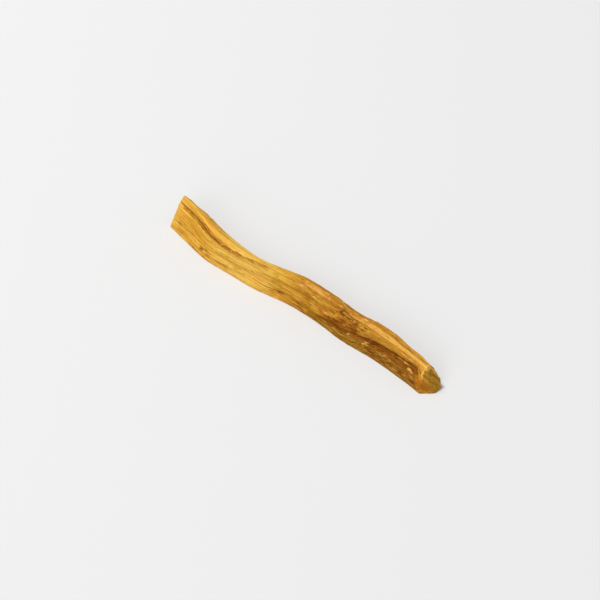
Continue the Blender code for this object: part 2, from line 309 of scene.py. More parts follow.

# On the right cut, as Y and Z: its dark dots, each with its half width, and the line of a painted
# highlight along its upper edge
CUT_DOTS = (
    (2.95, 5.45, 0.5),
    (3.9, 4.15, 0.45),
    (2.1, 3.95, 0.3),
    (2.75, 2.7, 0.35),
    (3.9, 1.95, 0.35),
)
CUT_HIGHLIGHT_LINE = ((2.3, 6.5), (3.3, 6.7), (4.1, 6.2), (5.5, 3.0))
CUT_HIGHLIGHT_HALF_WIDTH = 0.36
CUT_DOT_SHARE = 0.65
CUT_HIGHLIGHT_SHARE = 0.8

# The cut ends: the rings of points across a cut, with the size of the outer and of the inner one as a
# share of the cut's, and the relief of its saw marks and torn fibres
CUT_RINGS = 18
OUTER_RING = 0.985
INNER_RING = 0.03
CUT_GAP = 0.1  # how far apart the two cuts read their noise, for each millimetre between them
SAW_RELIEF = 0.02
SAW_WAVES = (9.0, 5.0)  # in Y and in Z
SAW_STRAY = 2.0
SAW_STRAY_SIZE = 2.1
TORN_RELIEF = 0.08
TORN_STEPS = (1.9, 4.3)  # a millimetre, coarse and fine
TORN_FINE_SHARE = 0.6
TORN_SINK = 0.6

# What tells hollows, which get painted shade, from ridges, which get a painted highlight: smoothing
# windows in points, and the depth of a full hollow
HOLLOW_WINDOWS = (3, 8)
HOLLOW_SCALE = 0.11
GROOVE_CALM = 0.7  # the share of the painted shade of its hollows that the crack's groove doesn't show

# Fibres that stand off the edges. The radius is half the width of the thickest place, and the lift is
# that of the tip, in millimetres.
SPLINTER_COUNT = 170
SPLINTER_EDGES = (TOE, STEP, LIP, BROW, RIM, CREST, SHOULDER, HIP)
SPLINTER_LENGTH = (1.2, 6.0)
SPLINTER_RADIUS = (0.05, 0.13)
SPLINTER_LIFT = (0.04, 0.26)
SPLINTER_STEPS = 10
SPLINTER_SIDES = 6
SPLINTER_STRAY = 3  # how many points off its edge a fibre may start
SPLINTER_CURL = 1.7  # above 1, a fibre lifts late
SPLINTER_SWELL = 0.7  # below 1, it is thickest near its root
SPLINTER_TIP = 0.04  # what is left of the radius at the tips
SPLINTER_FLATNESS = 0.7
SPLINTER_HIGHLIGHT_HOLLOW = -0.8  # fibres get the painted highlight of the ridges
SPLINTER_SEED = 5

# The angle between faces from which an edge is sharp, in degrees
STICK_SHARP = 50.0
SPLINTER_SHARP = 60.0

# How strong each stain is along the stick: distances from the left end, and the strength there. The
# tone is how dark the wood is, and below 0 how pale. The resin's top is how far past the ledge's lip
# it reaches, in places. The crest's light band is a painted highlight, the crack carries painted
# shade, the olive and umber strips are wood colour with painted shade of a face turned from the
# light, and the recess's dark is resin with painted shade under the lip.
TRACKS = {
    "tone": (
        (0, 8, 14, 20, 30, 38, 46, 50, 55, 62, 72, 82, 94, 106),
        (-0.15, 0.0, 0.0, -0.1, -0.28, -0.23, 0.06, 0.36, 0.85, 1.0, 0.9, 0.65, 0.5, 0.4),
    ),
    # Resin, with painted shade under the ledge's lip
    "resin_and_shade": (
        (0, 44, 60, 65, 72, 80, 92, 98, 101, 102.5, 106),
        (0.0, 0.0, 0.35, 0.95, 1.0, 1.0, 1.0, 1.0, 0.9, 0.2, 0.0),
    ),
    "resin_top": ((0, 60, 65, 72, 78, 84, 106), (0.04, 0.04, 0.28, 0.3, 0.08, 0.0, 0.0)),
    # Painted highlight along the crest
    "crest_highlight": ((0, 50, 54, 61, 64, 70, 80, 106), (0.0, 0.0, 0.6, 0.7, 0.3, 0.4, 0.65, 0.85)),
    # Olive and umber strips: wood colour with painted shade of the lower face turned from the light
    "olive_strip_shade": ((0, 46, 54, 62, 70, 79, 82, 106), (0.0, 0.0, 0.5, 0.65, 0.9, 1.0, 0.0, 0.0)),
    "umber_strip_shade": ((0, 76, 81, 99, 106), (0.0, 0.0, 1.0, 1.0, 0.5)),
    # Painted shade in the crack along the brow
    "groove_shade": (
        (0, 3, 6, 10, 15, 22, 32, 40, 46, 106),
        (0.35, 0.9, 1.0, 0.55, 1.0, 0.7, 0.65, 0.4, 0.0, 0.0),
    ),
}

# Where the stains lie round the section: from which place to which, and how soft their borders are.
# The painted highlight lies on the crest, the painted shade in the crack and on the strips below the
# recess. The resin, with its painted shade, comes in over its foot.
BANDS = {
    "crest_highlight": (CREST - 0.6, CREST + 0.25, 0.2),
    "olive_strip_shade": (TOE - 0.2, FLOOR + 0.25, 0.3),
    "umber_strip_shade": (TOE - 0.2, FLOOR + 0.3, 0.3),
    "groove_shade": (BROW - 0.06, RIM + 0.02, 0.1),
}
RESIN_FOOT = (FLOOR - 0.4, FLOOR + 0.1)
RESIN_BORDER = 0.06

# The painted highlight on the rim of the right cut: the stations between which it comes in, and its
# place
CUT_RIM_HIGHLIGHT_STATIONS = (104.2, 105.2)
CUT_RIM_HIGHLIGHT_BAND = (NOTCH, SHOULDER, 0.5)

# The growth layers: where their centre lies from the section's middle, in Y and Z, how far they waver,
# and their noise: steps a millimetre, detail and roughness
PITH = (-12.0, -21.0)
BAND_WAVER = 3.2
BAND_NOISE = (1.4, 3.0, 0.5)

# The camera, at the photograph's angle to the stick
CAMERA_AZIMUTH = math.radians(46.0)
CAMERA_ELEVATION = math.radians(40.0)
CAMERA_LENS = 135.0
CAMERA_SENSOR = 36.0
CAMERA_DISTANCE = 0.642
CAMERA_TARGET = (0.0020, -0.0021, 0.004)

# The studio: each lamp's place, size and power, the even light from all round, and the floor
KEY_LIGHT = ((-0.9, -0.3, 2.0), 0.8, 40.0)
FILL_LIGHT = ((0.9, -2.0, 0.9), 1.6, 20.0)
WHITE = (1.0, 1.0, 1.0, 1.0)
EVEN_LIGHT = 0.4
FLOOR_SIZE = 6.0
FLOOR_GREY = (0.69, 0.69, 0.69, 1.0)
FLOOR_ROUGHNESS = 0.9


def smooth_track(stations, knots, values):
    """Returns a smooth curve through the values at the knots, read at the stations."""
    knots = np.array(knots, float)
    values = np.array(values, float)
    slopes = np.gradient(values, knots)
    left = np.clip(np.searchsorted(knots, stations, side="right") - 1, 0, len(knots) - 2)
    gap = knots[left + 1] - knots[left]
    t = (stations - knots[left]) / gap
    start = (1 + 2 * t) * (1 - t) ** 2 * values[left] + t * (1 - t) ** 2 * gap * slopes[left]
    finish = t**2 * (3 - 2 * t) * values[left + 1] + t**2 * (t - 1) * gap * slopes[left + 1]
    return start + finish


def smooth_step(low, high, value):
    """Returns 0 at low, 1 at high, and a smooth way between them."""
    t = np.clip((value - low) / (high - low), 0.0, 1.0)
    return t * t * (3.0 - 2.0 * t)


def noise_at(points):
    """Returns smooth noise between about -1 and 1 for an array of 3-D points."""
    flat = np.reshape(points, (-1, 3))
    values = [noise.noise(Vector(point)) for point in flat]
    return np.reshape(values, np.shape(points)[:-1])


def edge_wobble(stations, edge):
    """Returns the Y and Z that unevenness adds to an edge of the section."""
    along = np.asarray(stations) / EDGE_WOBBLE_LENGTH
    rows = []
    for channel in range(2):
        offset = np.full_like(along, EDGE_GAP * edge + AXIS_GAP * channel)
        coarse = noise_at(np.stack([along, offset, offset * COARSE_SLANT], axis=-1))
        place = [along * EDGE_FINER, offset, offset * FINE_SLANT + FINE_SHIFT]
        fine = noise_at(np.stack(place, axis=-1))
        rows.append(EDGE_WOBBLE * (coarse + EDGE_FINE_SHARE * fine))
    return np.stack(rows, axis=-1)


def main_edge(stations, edge, y_values, z_values=None):
    """Returns one edge from its table, with wobble. An edge with no Z values stays on the ground."""
    y = smooth_track(stations, STATIONS, y_values)
    z = np.zeros_like(y) if z_values is None else smooth_track(stations, STATIONS, z_values)
    line = np.stack([y, z], axis=-1) + edge_wobble(stations, edge)
    if z_values is None:
        line[:, 1] = 0.0
    return line


def between(start, finish, share):
    """Returns the points that lie a share of the way from one line to another."""
    return start + (finish - start) * share[:, None]


def sink(line, start, finish, depth):
    """Moves a line into the wood, square to the face that runs from start to finish."""
    along = finish - start
    along /= np.linalg.norm(along, axis=1, keepdims=True)
    inward = np.stack([along[:, 1], -along[:, 0]], axis=-1)
    return line + inward * depth[:, None]


def section_edges(stations):
    """Returns the Y and Z of every edge of the section at each station."""
    toe = main_edge(stations, TOE, TOE_Y)
    brow = main_edge(stations, BROW, BROW_Y, BROW_Z)
    crest = main_edge(stations, CREST, CREST_Y, CREST_Z)
    shoulder = main_edge(stations, SHOULDER, SHOULDER_Y, SHOULDER_Z)
    hip = main_edge(stations, HIP, HIP_Y, HIP_Z)
    heel = main_edge(stations, HEEL, HEEL_Y)

    depth = np.maximum(smooth_track(stations, LEDGE_STATIONS, LEDGE_DEPTH), 0.0)
    lip_height = smooth_track(stations, LEDGE_STATIONS, LIP_HEIGHT)
    step_height = smooth_track(stations, LEDGE_STATIONS, STEP_HEIGHT)
    face_width = np.linalg.norm(brow - toe, axis=1)
    step = between(toe, brow, step_height)
    lip = between(toe, brow, lip_height)
    floor = between(toe, brow, step_height + STEP_SLOPE / face_width)
    floor = sink(floor, toe, brow, FLOOR_SHARE * depth)
    notch = between(toe, brow, lip_height - LIP_THICKNESS / face_width)
    notch = sink(notch, toe, brow, depth)

    crack_depth = np.maximum(smooth_track(stations, CRACK_STATIONS, CRACK_DEPTH), 0.0)
    crack_share = np.full_like(stations, CRACK_SHARE)
    rim = between(brow, crest, crack_share)
    crack = sink(between(brow, crest, 0.5 * crack_share), brow, crest, crack_depth)
    edges = [toe, step, floor, notch, lip, brow, crack, rim, crest, shoulder, hip, heel]
    return np.stack(edges, axis=1)


def towards(start, target, distance):
    """Returns the points at a distance from start on the way to target."""
    way = target - start
    return start + way * (distance / np.linalg.norm(way, axis=1, keepdims=True))


def section_points(edges):
    """Returns the points around each section, with its edges rounded, and their places: the number
    of the edge before each point plus its share of the way to the next."""
    count = edges.shape[1]
    points = []
    places = []
    for edge in range(count):
        corner = edges[:, edge]
        before = towards(corner, edges[:, edge - 1], EDGE_ROUND[edge])
        after = towards(corner, edges[:, (edge + 1) % count], EDGE_ROUND[edge])
        for t in np.linspace(0.0, 1.0, ROUND_POINTS[edge]) if EDGE_ROUND[edge] else (0.5,):
            points.append((1 - t) ** 2 * before + 2 * t * (1 - t) * corner + t**2 * after)
            places.append(edge)
        following = (edge + 1) % count
        face_end = towards(edges[:, following], corner, EDGE_ROUND[following])
        for t in np.linspace(0.0, 1.0, FACE_STEPS[edge] + 1)[1:-1]:
            points.append(after + (face_end - after) * t)
            places.append(edge + t)
    return np.stack(points, axis=1), np.array(places)


def outward(points):
    """Returns the outward direction at each point around a section."""
    along = np.roll(points, -1, axis=1) - np.roll(points, 1, axis=1)
    along /= np.linalg.norm(along, axis=2, keepdims=True)
    return np.stack([-along[..., 1], along[..., 0]], axis=-1)


def square_off(points, y, z):
    """Returns the square of each point's distance from a line along the stick."""
    return (points[..., 0] - y) ** 2 + (points[..., 1] - z) ** 2


def in_patch(along, points, patch):
    """Returns how much each point belongs to a patch that fades out from its middle."""
    station, y, z, half_length, half_width = patch
    across = square_off(points, y, z) / half_width**2
    return np.exp(-(((along - station) / half_length) ** 4) - across)


def dent_depth(along, points, dents):
    """Returns the depth of pits, less the height of lumps."""
    depth = np.zeros(along.shape)
    for station, y, z, half_length, half_width, deep in dents:
        across = square_off(points, y, z) / half_width**2
        depth += deep * np.exp(-(((along - station) / half_length) ** 2) - across)
    return depth


def lump_noise(along, points, length, width):
    """Returns noise with lumps of this length along the stick and this width across it."""
    return noise_at(np.concatenate([along[..., None] / length, points / width], axis=2))


def surface_change(along, points):
    """Returns how far relief, pits and the knot move each point outwards."""
    change = RELIEF * (lump_noise(along, points, RELIEF_LENGTH, RELIEF_WIDTH) - RELIEF_SINK)
    lumps = lump_noise(along, points, KNOT_LUMP_LENGTH, KNOT_LUMP_WIDTH)
    change += in_patch(along, points, KNOT_PATCH) * (KNOT_LUMPS * lumps - KNOT_DEPTH)
    return change - dent_depth(along, points, DENTS)


def grain_space(stations, points):
    """Returns each point's place in the wood's grain: along it, and across it on the mean section.
    The grain strays a little from the edges, and bends round the knot."""
    along = np.broadcast_to(stations[:, None], points.shape[:2])
    ring = points.mean(axis=0) - points.mean(axis=(0, 1))
    bend = KNOT_BEND * np.exp(-(((along - KNOT_STATION) / KNOT_BEND_LENGTH) ** 2))
    wide = ring[None, :, 0] + GRAIN_STRAY * along
    high = ring[None, :, 1] - GRAIN_STRAY * along + bend
    place = [along / DRIFT_LENGTH, wide / DRIFT_WIDTH, high / DRIFT_WIDTH]
    drift = noise_at(np.stack(place, axis=-1))
    return np.stack([along, wide + GRAIN_DRIFT * drift, high + GRAIN_DRIFT * drift], axis=-1)


def grain_noise(grain, length, width, shift):
    """Returns noise that is drawn out along the grain."""
    return noise_at(grain / (length, width, width) + shift)


def ring_lengths(points):
    """Returns how far each point is round the mean section, and the length of the whole round."""
    ring = points.mean(axis=0)
    gaps = np.linalg.norm(np.roll(ring, -1, axis=0) - ring, axis=1)
    return np.concatenate([[0.0], np.cumsum(gaps)[:-1]]), gaps.sum()


def round_gap(way, target, whole_round):
    """Returns the distance round the section from target to each way, the shorter way about."""
    off = way - target
    return off - whole_round * np.round(off / whole_round)


def carve(along, way, whole_round, marks):
    """Returns the depth of long marks, each given by its station, way round, half length, half width,
    depth and slope."""
    depth = np.zeros(along.shape)
    for station, target, half_length, half_width, deep, slope in marks:
        near = np.abs(along[:, 0] - station) < half_length
        away = along[near] - station
        off = round_gap(way[None], target + slope * away, whole_round)
        taper = 1.0 - (away / half_length) ** 2
        depth[near] = np.maximum(depth[near], deep * taper * np.exp(-((off / half_width) ** 2)))
    return depth


def colour_marks(along, places, way, whole_round):
    """Returns how strongly each kind of mark shows at each point."""
    strengths = {}
    for kind, rows in MARKS.items():
        marks = []
        for station, place, half_length, half_width, strength in rows:
            target = np.interp(place, places, way)
            marks.append((station, target, half_length, half_width, strength, 0.0))
        strengths[kind] = carve(along, way, whole_round, marks)
    return strengths


def random_marks(whole_round, count, lengths, half_widths, depths, seed):
    """Returns seeded marks for carve()."""
    chance = np.random.default_rng(seed)
    marks = []
    for _ in range(count):
        station = chance.uniform(0.0, LENGTH)
        way = chance.uniform(0.0, whole_round)
        half_length = 0.5 * chance.uniform(*lengths)
        slope = chance.normal(0.0, MARK_SLOPE)
        half_width = chance.uniform(*half_widths)
        depth = chance.uniform(*depths)
        marks.append((station, way, half_length, half_width, depth, slope))
    return marks


def nicks(along, places, way, whole_round):
    """Returns the depth of nicks in the long edges."""
    depth = np.zeros(along.shape)
    for edge in NICKED_EDGES:
        off = round_gap(way, way[np.argmin(np.abs(places - edge))], whole_round)
        reach = np.exp(-((off / NICK_REACH) ** 2))
        offset = np.full_like(along[:, 0], NICK_GAP * edge)
        line = np.stack([along[:, 0] / NICK_LENGTH, offset, along[:, 0] / NICK_DRIFT], axis=-1)
        bite = smooth_step(*NICK_BITE, noise_at(line))
        depth += NICK_DEPTH * bite[:, None] * reach[None]
    return depth


def fine_change(grain, points, places):
    """Returns how far fibres, steps, checks, pores and the knot's grit move each point outwards."""
    along = grain[..., 0]
    change = np.zeros(along.shape)
    for length, width, height, shift in RIDGES:
        change -= 2.0 * height * np.abs(grain_noise(grain, length, width, shift))
    for length, width, height, shift in CREASES:
        change += 2.0 * height * (np.abs(grain_noise(grain, length, width, shift)) - 0.5)

    level = SPLIT_STEPS * grain_noise(grain, SPLIT_LENGTH, SPLIT_WIDTH, SPLIT_SHIFT)
    level += SPLIT_FRAY * grain_noise(grain, FRAY_LENGTH, FRAY_WIDTH, FRAY_SHIFT)
    whole = np.floor(level)
    steps = whole + smooth_step(SPLIT_EDGE, 1.0, level - whole) - 1.0
    change += SPLIT_HEIGHT * steps
    from_end = np.minimum(along, LENGTH - along)
    change *= RIM_KEPT + (1.0 - RIM_KEPT) * smooth_step(0.0, RIM_QUIET, from_end)

    way, whole_round = ring_lengths(points)
    splits = random_marks(whole_round, *CHECKS)
    for station, place, *rest in LONG_SPLITS:
        splits.append((station, np.interp(place, places, way), *rest))
    change -= carve(along, way, whole_round, splits)
    change -= carve(along, way, whole_round, random_marks(whole_round, *OPEN_PORES))

    place = np.concatenate([along[..., None] * KNOT_GRIT_STRETCH, points], axis=2)
    change += KNOT_GRIT * in_patch(along, points, KNOT_PATCH) * noise_at(place / KNOT_GRIT_SIZE)
    change -= change.mean()
    change[:, (places == TOE) | (places >= HEEL)] *= QUIET_UNDERSIDE
    return change


def end_slant(stations, points):
    """Returns how far each point moves along X, so that the ends have their cuts."""
    left_share = np.exp(-CUT_BLEND * stations / LENGTH)
    right_share = np.exp(-CUT_BLEND * (1.0 - stations / LENGTH))
    left = LEFT_CUT_LEAN * points[..., 1] - LEFT_CUT_OUT
    broken = smooth_step(0.0, BREAK_WIDTH, BREAK_Y - points[..., 0])
    right = -RIGHT_CUT_BACK - RIGHT_CUT_LEAN * points[..., 1] - BREAK_DEPTH * broken
    return left_share * left + right_share * right


def cut_face(rim, station, way):
    """Returns rings of points that close a cut end, from just inside its rim to its middle, and the
    share of the cut's size that each ring has. The way is -1 or 1 along X, out of the stick."""
    middle = rim.mean(axis=0)
    shares = np.concatenate([[OUTER_RING], np.linspace(RIM_SHARE, INNER_RING, CUT_RINGS - 1)])
    points = middle + (rim - middle) * shares[:, None, None]
    x = station + end_slant(np.full(points.shape[:2], station), points)
    cut_place = np.full_like(x, CUT_GAP * station)
    spot = np.concatenate([cut_place[..., None], points - middle], axis=2)
    waves = SAW_WAVES[0] * spot[..., 1] + SAW_WAVES[1] * spot[..., 2]
    saw = np.sin(waves + SAW_STRAY * noise_at(spot / SAW_STRAY_SIZE))
    coarse, fine = (noise_at(spot * steps) for steps in TORN_STEPS)
    torn = coarse + TORN_FINE_SHARE * fine - TORN_SINK
    wear = RIM_WEAR * smooth_step(1.0, RIM_SHARE, shares)[:, None]
    x += way * (SAW_RELIEF * saw + TORN_RELIEF * torn + wear)
    return np.concatenate([x[..., None], points], axis=2), shares


def smoothed(values, window):
    """Returns values averaged over a window along and round the stick."""
    padded = np.concatenate([values[:1].repeat(window, 0), values, values[-1:].repeat(window, 0)])
    total = sum(padded[shift : shift + len(values)] for shift in range(2 * window + 1))
    whole = sum(np.roll(total, shift, axis=1) for shift in range(-window, window + 1))
    return whole / (2 * window + 1) ** 2


def hollowness(change):
    """Returns how far each point lies below its surroundings, in full hollows."""
    depths = [smoothed(change, window) - change for window in HOLLOW_WINDOWS]
    return sum(depths) / len(depths) / HOLLOW_SCALE


def band(places, low, high, soft):
    """Returns 1 between two places round the section, with soft borders."""
    past_high = smooth_step(high - soft, high + soft, places)
    return smooth_step(low - soft, low + soft, places) * (1.0 - past_high)


def stain_facts(stations, places):
    """Returns how much of each stain lies at each point: the painted highlight along the crest and
    the right cut's rim, the olive and the brown strips below the recess, wood colour with painted
    shade, the painted shade in the crack, the resinous dark of the recess with painted shade under
    the lip, and the tone."""
    level = {name: smooth_track(stations, *track)[:, None] for name, track in TRACKS.items()}
    facts = {name: level[name] * band(places, *limits) for name, limits in BANDS.items()}
    # Painted highlight on the right cut's rim
    rim = smooth_step(*CUT_RIM_HIGHLIGHT_STATIONS, stations)[:, None] * band(places, *CUT_RIM_HIGHLIGHT_BAND)
    facts["crest_highlight"] = np.maximum(facts["crest_highlight"], rim)
    # Resin band in the recess, partly painted shade under the ledge's lip
    below_top = smooth_step(RESIN_BORDER, -RESIN_BORDER, places - LIP - level["resin_top"])
    facts["resin_and_shade"] = level["resin_and_shade"] * smooth_step(*RESIN_FOOT, places) * below_top
    facts["tone"] = np.repeat(level["tone"], len(places), axis=1)
    return facts


def stick_surface():
    """Returns the stick's rings of points in millimetres, their places round the section, and the
    facts that its material reads."""
    stations = np.linspace(0.0, LENGTH, STATION_COUNT)
    points, places = section_points(section_edges(stations))
    grain = grain_space(stations, points)
    along = np.broadcast_to(stations[:, None], points.shape[:2])
    coarse = surface_change(along, points)
    coarse[:, (places == TOE) | (places >= HEEL)] = 0.0
    points = points + outward(points) * coarse[..., None]
    fine = fine_change(grain, points, places)
    dents = dent_depth(along, points, [row for row in DENTS if row[4] < PIT_WIDTH])
    change = fine - nicks(along, places, *ring_lengths(points))
    points = points + outward(points) * change[..., None]
    points[..., 1] = np.maximum(points[..., 1], 0.0)
    rings = np.concatenate([(along + end_slant(along, points))[..., None], points], axis=2)

    stains = stain_facts(stations, places)
    facts = {
        # Drives painted shade in hollows and a painted highlight on proud ridges
        "hollow": hollowness(fine) * (1.0 - GROOVE_CALM * stains["groove_shade"]),
        # Painted shade in the deeper pits
        "pit_shade": dents,
        "knot": in_patch(along, points, KNOT_STAIN),
        "corner": in_patch(along, points, CORNER_STAIN),
        **colour_marks(along, places, *ring_lengths(points)),
        **stains,
        "cut": np.zeros(along.shape),
        "along": grain[..., 0],
        "wide": grain[..., 1],
        "high": grain[..., 2],
    }
    return rings, places, facts


def cut_marks(points):
    """Returns the dark dots, the painted highlight along the upper edge and the corner stain of the
    right cut.
    """
    dots = np.zeros(points.shape[:2])
    for y, z, half_width in CUT_DOTS:
        dots = np.maximum(dots, np.exp(-square_off(points, y, z) / half_width**2))
    # A painted highlight along the cut's upper edge
    fibre = np.zeros(points.shape[:2])
    line = np.array(CUT_HIGHLIGHT_LINE)
    for start, way in zip(line, np.diff(line, axis=0)):
        share = np.clip((points - start) @ way / (way @ way), 0.0, 1.0)
        away = ((points - start - share[..., None] * way) ** 2).sum(axis=-1)
        fibre = np.maximum(fibre, np.exp(-away / CUT_HIGHLIGHT_HALF_WIDTH**2))
    return {
        "dark_speck_and_shade": CUT_DOT_SHARE * dots,
        "light_speck_and_highlight": CUT_HIGHLIGHT_SHARE * fibre,
        "corner": in_patch(LENGTH, points, CORNER_STAIN),
    }


def add_ends(rings, facts):
    """Adds the cut faces to the rings, and their facts."""
    left_face, shares = cut_face(rings[0, :, 1:], 0.0, -1.0)
    right_face, _ = cut_face(rings[-1, :, 1:], LENGTH, 1.0)
    marks = cut_marks(right_face[..., 1:])
    whole = {}
    for name, values in facts.items():
        left = np.repeat(values[:1], CUT_RINGS, 0)
        right = np.repeat(values[-1:], CUT_RINGS, 0)
        if name in ("wide", "high"):
            left = left.mean() + (left - left.mean()) * shares[:, None]
            right = right.mean() + (right - right.mean()) * shares[:, None]
        elif name == "cut":
            left = np.ones_like(left)
            right = np.ones_like(right)
        elif name not in ("along", "tone"):
            left = np.zeros_like(left)
            right = marks.get(name, np.zeros_like(right))
        whole[name] = np.concatenate([left[::-1], values, right])
    return np.concatenate([left_face[::-1], rings, right_face]), whole


def make_piece(name, vertices, faces, facts, material, sharp_angle):
    """Makes one piece of the object from vertices in millimetres, and the facts at each of them."""
    mesh = bpy.data.meshes.new(name)
    mesh.from_pydata((np.reshape(vertices, (-1, 3)) * MM).tolist(), [], faces)
    for fact_name, values in facts.items():
        layer = mesh.attributes.new(fact_name, "FLOAT", "POINT")
        layer.data.foreach_set("value", np.ascontiguousarray(values, np.float32).ravel())
    mesh.shade_smooth()
    mesh.set_sharp_from_angle(angle=math.radians(sharp_angle))
    mesh.materials.append(material)
    piece = bpy.data.objects.new(name, mesh)
    bpy.context.scene.collection.objects.link(piece)
    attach(piece, "root")
    return piece


def tube_faces(ring_count, point_count):
    """Returns the faces of one closed tube of rings, with a flat face at both ends."""
    index = np.arange(ring_count * point_count).reshape(ring_count, point_count)
    following = np.roll(index, -1, axis=1)
    sides = np.stack([index[:-1], index[1:], following[1:], following[:-1]], axis=-1).reshape(-1, 4)
    return [*map(tuple, sides.tolist()), tuple(index[0].tolist()), tuple(index[-1][::-1].tolist())]


def splinter_rings(rings, away, facts, start, step, column, length, radius, lift):
    """Returns the rings of one fibre that leaves the surface, and the facts at its root."""
    spacing = LENGTH / (STATION_COUNT - 1)
    t = np.linspace(0.0, 1.0, SPLINTER_STEPS)
    row = start + step * t * length / spacing
    low = np.floor(row).astype(int)
    part = (row - low)[:, None]
    spine = rings[low, column] * (1 - part) + rings[low + 1, column] * part
    normal = np.concatenate([np.zeros((SPLINTER_STEPS, 1)), away[low, column]], axis=1)
    side = np.cross(np.array([1.0, 0.0, 0.0]), normal)
    spine = spine + normal * (lift * t**SPLINTER_CURL - 0.5 * radius)[:, None]
    half = radius * (SPLINTER_TIP + np.sin(math.pi * t**SPLINTER_SWELL))
    corners = []
    for angle in np.linspace(0.0, 2.0 * math.pi, SPLINTER_SIDES, endpoint=False):
        offset = normal * (SPLINTER_FLATNESS * math.sin(angle)) + side * math.cos(angle)
        corners.append(spine + offset * half[:, None])
    made = np.stack(corners, axis=1)
    if step < 0:
        made = made[:, ::-1]
    roots = {name: np.full(made.shape[:2], values[start, column]) for name, values in facts.items()}
    return made, roots


def make_splinters(rings, places, facts, middle, material):
    """Makes the torn fibres along the edges as one joined mesh of closed slivers."""
    chance = np.random.default_rng(SPLINTER_SEED)
    away = outward(rings[..., 1:])
    vertices = []
    faces = []
    kept = {name: [] for name in facts}
    reach = int(SPLINTER_LENGTH[1] * STATION_COUNT / LENGTH) + 2
    for _ in range(SPLINTER_COUNT):
        edge = SPLINTER_EDGES[chance.integers(len(SPLINTER_EDGES))]
        stray = chance.integers(-SPLINTER_STRAY, SPLINTER_STRAY + 1)
        column = (np.argmin(np.abs(places - edge)) + stray) % len(places)
        start = chance.integers(reach, STATION_COUNT - reach)
        step = chance.choice((-1, 1))
        length = chance.uniform(*SPLINTER_LENGTH)
        radius = chance.uniform(*SPLINTER_RADIUS)
        lift = chance.uniform(*SPLINTER_LIFT)
        made, roots = splinter_rings(rings, away, facts, start, step, column, length, radius, lift)
        made[..., 2] = np.maximum(made[..., 2], 0.0)
        made[..., :2] -= middle
        offset = sum(len(part) for part in vertices)
        for face in tube_faces(*made.shape[:2]):
            faces.append(tuple(corner + offset for corner in face))
        vertices.append(made.reshape(-1, 3))
        for name, values in roots.items():
            kept[name].append(values.ravel())
    whole = {name: np.concatenate(values) for name, values in kept.items()}
    # The fibres get the painted highlight of proud ridges
    whole["hollow"] = np.full_like(whole["hollow"], SPLINTER_HIGHLIGHT_HOLLOW)
    make_piece("splinters", np.concatenate(vertices), faces, whole, material, SPLINTER_SHARP)


def srgb(red, green, blue):
    """Returns a colour given as 0 to 255 on a screen, in the linear values that a shader takes."""
    values = np.array((red, green, blue)) / 255.0
    linear = np.where(values <= 0.04045, values / 12.92, ((values + 0.055) / 1.055) ** 2.4)
    return (*linear.tolist(), 1.0)


GOLD = srgb(221, 178, 70)
AMBER = srgb(205, 150, 42)
HONEY = srgb(194, 132, 30)
# Pale wood, and also the painted highlight on proud ridges
PALE = srgb(240, 206, 104)
ORANGE = srgb(248, 174, 68)
# Colour of pale fibres and of painted highlights
PALE_AND_HIGHLIGHT_AMBER = srgb(240, 184, 96)
OLIVE_GOLD = srgb(186, 142, 26)
DEEP = srgb(206, 158, 104)
RUSSET = srgb(172, 114, 22)
# Wood colour with painted shade of the lower face
UMBER_SHADE_BROWN = srgb(124, 74, 8)
KNOT_BROWN = srgb(158, 94, 6)
OLIVE = srgb(132, 92, 6)
# Resin colour with painted shade under the lip
RESIN_AND_SHADE_BROWN = srgb(140, 80, 2)
# Painted shade in the crack
GROOVE_SHADE_BROWN = srgb(160, 98, 2)
CORNER_BROWN = srgb(160, 92, 18)
END_BROWN = srgb(198, 148, 52)
END_DARK = srgb(160, 114, 34)
# Dark flecks, and painted shade in pits
SPECK_AND_SHADE_BROWN = srgb(108, 60, 2)
# Dark of pores and end dots, and also the painted shade in hollows
DARK = srgb(92, 50, 4)

# The wood's patterns: their steps a millimetre along the grain and across it, and the detail and
# roughness of their noise
FIBRES = (0.06, 4.6, 4.0, 0.62)
HAIRS = (0.16, 13.0, 2.0, 0.5)
PORES = (0.7, 9.5, 1.0, 0.5)
BLOTCHES = (0.09, 0.45, 3.0, 0.5)
MOTTLE = (0.35, 1.1, 3.0, 0.55)
FRAY = (0.45, 3.4, 3.0, 0.6)
BAND_WAVE = (0.022, 0.16, 2.0, 0.5)
END_CLOUDS = (0.0, 0.55, 2.0, 0.5)
END_GRAIN = (0.0, 4.2, 3.0, 0.6)

# The values of a pattern or a stored number between which a colour comes in, and where given, its
# share at the one and at the other
AMBER_RANGE = (0.36, 0.62)
HONEY_RANGE = (0.5, 0.66, 0.0, 0.6)
PALE_RANGE = (0.0, -0.2, 0.0, 0.45)
FIBRE_RANGE = (0.36, 0.68, 0.0, 0.75)
HAIR_RANGE = (0.5, 0.72, 0.0, 0.35)
# Painted shade in hollows, and a painted highlight on proud ridges
HOLLOW_SHADE_RANGE = (0.3, 2.0, 0.0, 0.68)
PROUD_HIGHLIGHT_RANGE = (-0.25, -1.2, 0.0, 0.3)
END_RING_RANGE = (0.42, 0.6)
END_OLIVE_RANGE = (0.42, 0.62, 0.0, 0.4)
END_DOT_RANGE = (0.5, 0.74, 0.0, 0.7)
CORNER_RANGE = (0.1, 0.9, 0.0, 0.7)
# Painted shade in pits
PIT_SHADE_RANGE = (0.15, 0.65, 0.0, 0.85)
PORE_RANGE = (0.64, 0.73, 0.0, 0.42)

# How the mottle breaks the brown tone up, how a pattern breaks a stain up, and the strengths at which
# the broken stain starts and is full
TONE_BREAK = (0.35, 0.62, 0.6, 1.3)
STAIN_BREAK = (0.36, 0.64, 0.45, 1.3)
STAIN_RANGE = (0.25, 0.65)

